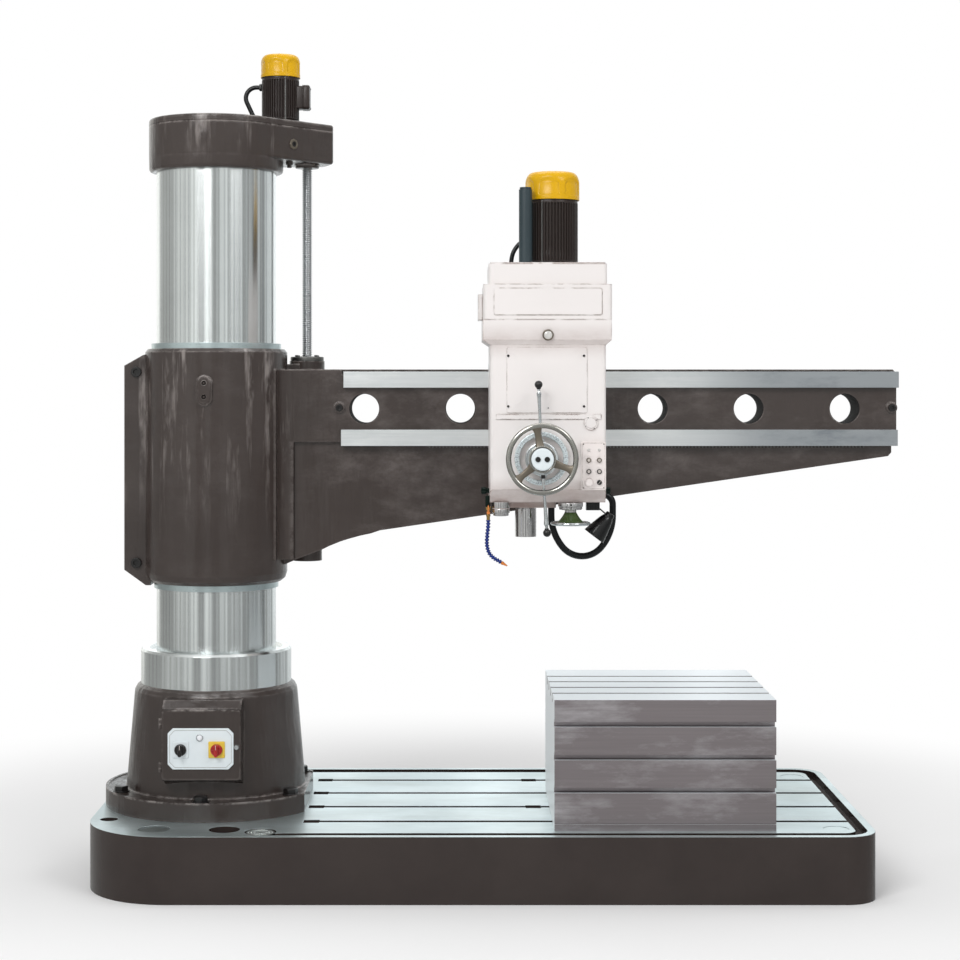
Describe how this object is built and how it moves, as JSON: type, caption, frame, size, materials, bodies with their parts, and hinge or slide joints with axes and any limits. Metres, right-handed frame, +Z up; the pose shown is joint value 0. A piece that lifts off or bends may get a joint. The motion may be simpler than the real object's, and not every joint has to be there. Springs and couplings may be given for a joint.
{
  "type": "radial arm drill",
  "caption": "Radial arm drilling machine: slotted base with box table, round column with swinging and lifting arm, and a travelling drill head with spindle, handwheel and levers.",
  "frame": {"origin": "on the floor, on the axis of the column", "axes": "+Z up, +X along the arm at rest, +Y away from the operator"},
  "size_m": [2.918, 1.25, 3.008],
  "materials": {
    "brown_paint": "glossy dark brown enamel",
    "white_paint": "glossy off-white enamel",
    "motor_paint": "glossy dark enamel on fins",
    "yellow_paint": "glossy yellow enamel",
    "blue_paint": "dark blue-green enamel",
    "machined_iron": "ground, light steel colour",
    "table_iron": "machined, dark, lightly worn",
    "column_steel": "ground and polished",
    "ground_steel": "ground",
    "screw_steel": "turned, oiled",
    "gear_steel": "machined, oiled",
    "tap_brass": "cast brass, satin",
    "wheel_chrome": "polished",
    "black_oxide": "black oxide fasteners",
    "panel_white": "white faceplate",
    "button_pale": "smooth",
    "button_red": "smooth red",
    "black_plastic": "smooth black",
    "black_rubber": "flexible conduit",
    "hose_blue": "blue segments",
    "nozzle_orange": "orange",
    "knob_green": "dark green",
    "pale_green": "pale green enamel and chrome rim",
    "lamp_black": "satin black"
  },
  "bodies": {
    "base": {"base_casting": "machined_iron", "base_plugs": "ground_steel", "pedestal": "brown_paint", "pedestal_bolts": "black_oxide", "inner_column": "column_steel", "column_bearings": "gear_steel", "column_clamp_ring": "column_steel", "box_table": "table_iron"},
    "switch_door": {"switch_box_door": "brown_paint", "switch_plate": "panel_white"},
    "isolator": {"isolator_knob": "black_plastic"},
    "pump_switch": {"pump_switch_knob": "button_red"},
    "column": {"outer_column": "column_steel", "top_cap": "brown_paint", "top_cap_lid": "brown_paint", "lift_motor_body": "motor_paint", "lift_motor_fan_cover": "yellow_paint", "lift_motor_terminal_box": "motor_paint"},
    "lift_screw": {"lift_screw": "screw_steel"},
    "lift_rotor": {"lift_motor_rotor": "gear_steel"},
    "arm": {"arm_casting": "brown_paint", "sleeve_rings": "ground_steel", "arm_bolts": "black_oxide", "lift_nut": "gear_steel", "arm_ways": "ground_steel", "traverse_rack": "gear_steel"},
    "head": {"head_casting": "white_paint", "head_keepers": "ground_steel", "gearbox_cover": "white_paint", "head_cover_panel": "panel_white", "main_motor_body": "motor_paint", "main_motor_fan_cover": "yellow_paint", "spindle_guard_tube": "blue_paint", "head_conduits": "black_rubber", "control_panel": "panel_white", "hub_button_plate": "panel_white", "coolant_valve": "tap_brass", "coolant_hose": "hose_blue", "coolant_nozzle": "nozzle_orange", "lamp_base": "lamp_black"},
    "main_rotor": {"main_motor_rotor": "gear_steel"},
    "drive_gear": {"spindle_drive_gear": "gear_steel"},
    "clamp_button_left": {"hub_button_left": "black_plastic"},
    "clamp_button_right": {"hub_button_right": "black_plastic"},
    "start_button": {"start_button": "button_pale"},
    "reverse_button": {"reverse_button": "button_pale"},
    "arm_up_button": {"arm_up_button": "button_pale"},
    "arm_down_button": {"arm_down_button": "button_pale"},
    "stop_button": {"stop_button": "button_pale"},
    "mode_selector": {"mode_selector": "black_plastic"},
    "handwheel": {"traverse_handwheel": "wheel_chrome"},
    "traverse_shaft": {"traverse_pinion": "gear_steel"},
    "levers": {"feed_levers": "wheel_chrome"},
    "fine_wheel": {"fine_feed_wheel": "pale_green"},
    "quill": {"quill": "ground_steel"},
    "spindle": {"spindle": "ground_steel"},
    "coolant_lever": {"coolant_valve_lever": "nozzle_orange"},
    "clamp_screw_left": {"head_clamp_screw_left": "knob_green"},
    "clamp_screw_right": {"head_clamp_screw_right": "knob_green"},
    "lamp": {"lamp_shade": "lamp_black"}
  },
  "joints": [
    {"name": "door_swing", "type": "hinge", "parent": "base", "child": "switch_door", "pos_m": [-0.154, -0.376, 0.5], "axis": [0, 0, -1], "range_deg": [0, 110]},
    {"name": "isolator_turn", "type": "hinge", "parent": "switch_door", "child": "isolator", "pos_m": [-0.08, -0.39, 0.487], "axis": [0, 1, 0], "range_deg": [0, 90]},
    {"name": "pump_switch_turn", "type": "hinge", "parent": "switch_door", "child": "pump_switch", "pos_m": [0.047, -0.39, 0.487], "axis": [0, 1, 0], "range_deg": [0, 90]},
    {"name": "column_swing", "type": "hinge", "parent": "base", "child": "column", "pos_m": [0, 0, 0], "axis": [0, 0, 1], "range_deg": [-180, 180]},
    {"name": "arm_lift", "type": "slide", "parent": "column", "child": "arm", "axis": [0, 0, 1], "range_m": [-0.19, 0.61]},
    {"name": "lift_screw_spin", "type": "hinge", "parent": "column", "child": "lift_screw", "pos_m": [0.32719, 0.12429, 1.7], "axis": [0, 0, 1], "continuous": true},
    {"name": "lift_motor_spin", "type": "hinge", "parent": "column", "child": "lift_rotor", "pos_m": [0.22997, 0.08736, 2.7], "axis": [0, 0, 1], "continuous": true},
    {"name": "head_traverse", "type": "slide", "parent": "arm", "child": "head", "axis": [1, 0, 0], "range_m": [-0.46, 1.07]},
    {"name": "handwheel_turn", "type": "hinge", "parent": "head", "child": "handwheel", "pos_m": [1.186, -0.586, 1.517], "axis": [0, 1, 0], "continuous": true},
    {"name": "traverse_shaft_turn", "type": "hinge", "parent": "head", "child": "traverse_shaft", "pos_m": [1.282, -0.3, 1.517], "axis": [0, 1, 0], "continuous": true},
    {"name": "quill_feed", "type": "slide", "parent": "head", "child": "quill", "axis": [0, 0, -1], "range_m": [0, 0.4]},
    {"name": "levers_turn", "type": "hinge", "parent": "head", "child": "levers", "pos_m": [1.186, -0.543, 1.517], "axis": [0, 1, 0], "continuous": true},
    {"name": "spindle_spin", "type": "hinge", "parent": "quill", "child": "spindle", "pos_m": [1.138, -0.3, 1.3], "axis": [0, 0, 1], "continuous": true},
    {"name": "drive_gear_spin", "type": "hinge", "parent": "head", "child": "drive_gear", "pos_m": [1.138, -0.3, 2.03], "axis": [0, 0, 1], "continuous": true},
    {"name": "main_motor_spin", "type": "hinge", "parent": "head", "child": "main_rotor", "pos_m": [1.238, -0.19639, 2.3], "axis": [0, 0, 1], "continuous": true},
    {"name": "fine_wheel_turn", "type": "hinge", "parent": "head", "child": "fine_wheel", "pos_m": [1.291, -0.43, 1.3], "axis": [0, 0, 1], "continuous": true},
    {"name": "clamp_button_left_press", "type": "slide", "parent": "head", "child": "clamp_button_left", "axis": [0, 1, 0], "range_m": [0, 0.003], "stiffness_N_per_m": 600, "springref_m": -0.003},
    {"name": "clamp_button_right_press", "type": "slide", "parent": "head", "child": "clamp_button_right", "axis": [0, 1, 0], "range_m": [0, 0.003], "stiffness_N_per_m": 600, "springref_m": -0.003},
    {"name": "start_button_press", "type": "slide", "parent": "head", "child": "start_button", "axis": [0, 1, 0], "range_m": [0, 0.004], "stiffness_N_per_m": 600, "springref_m": -0.003},
    {"name": "reverse_button_press", "type": "slide", "parent": "head", "child": "reverse_button", "axis": [0, 1, 0], "range_m": [0, 0.004], "stiffness_N_per_m": 600, "springref_m": -0.003},
    {"name": "arm_up_button_press", "type": "slide", "parent": "head", "child": "arm_up_button", "axis": [0, 1, 0], "range_m": [0, 0.004], "stiffness_N_per_m": 600, "springref_m": -0.003},
    {"name": "arm_down_button_press", "type": "slide", "parent": "head", "child": "arm_down_button", "axis": [0, 1, 0], "range_m": [0, 0.004], "stiffness_N_per_m": 600, "springref_m": -0.003},
    {"name": "stop_button_press", "type": "slide", "parent": "head", "child": "stop_button", "axis": [0, 1, 0], "range_m": [0, 0.005], "stiffness_N_per_m": 600, "springref_m": -0.003},
    {"name": "mode_selector_turn", "type": "hinge", "parent": "head", "child": "mode_selector", "pos_m": [1.3865, -0.52, 1.434], "axis": [0, 1, 0], "range_deg": [-45, 45]},
    {"name": "coolant_tap_turn", "type": "hinge", "parent": "head", "child": "coolant_lever", "pos_m": [1.003, -0.446, 1.325], "axis": [0, -1, 0], "range_deg": [0, 90]},
    {"name": "clamp_screw_left_turn", "type": "hinge", "parent": "head", "child": "clamp_screw_left", "pos_m": [1, -0.3, 1.395], "axis": [1, 0, 0], "range_deg": [0, 120]},
    {"name": "clamp_screw_right_turn", "type": "hinge", "parent": "head", "child": "clamp_screw_right", "pos_m": [1.42, -0.3, 1.395], "axis": [1, 0, 0], "range_deg": [0, 120]},
    {"name": "lamp_tilt", "type": "hinge", "parent": "head", "child": "lamp", "pos_m": [1.39, -0.345, 1.341], "axis": [0, 1, 0], "range_deg": [-30, 20]}
  ],
  "couplings": [
    {"joint": "lift_screw_spin", "follows": "arm_lift", "rad_per_m": 785.4},
    {"joint": "lift_motor_spin", "follows": "arm_lift", "rad_per_m": -1483.5},
    {"joint": "traverse_shaft_turn", "follows": "head_traverse", "rad_per_m": -35.714},
    {"joint": "handwheel_turn", "follows": "head_traverse", "rad_per_m": 35.714},
    {"joint": "levers_turn", "follows": "quill_feed", "rad_per_m": 51.5},
    {"joint": "drive_gear_spin", "follows": "spindle_spin", "ratio": 1},
    {"joint": "main_motor_spin", "follows": "spindle_spin", "ratio": -2}
  ]
}
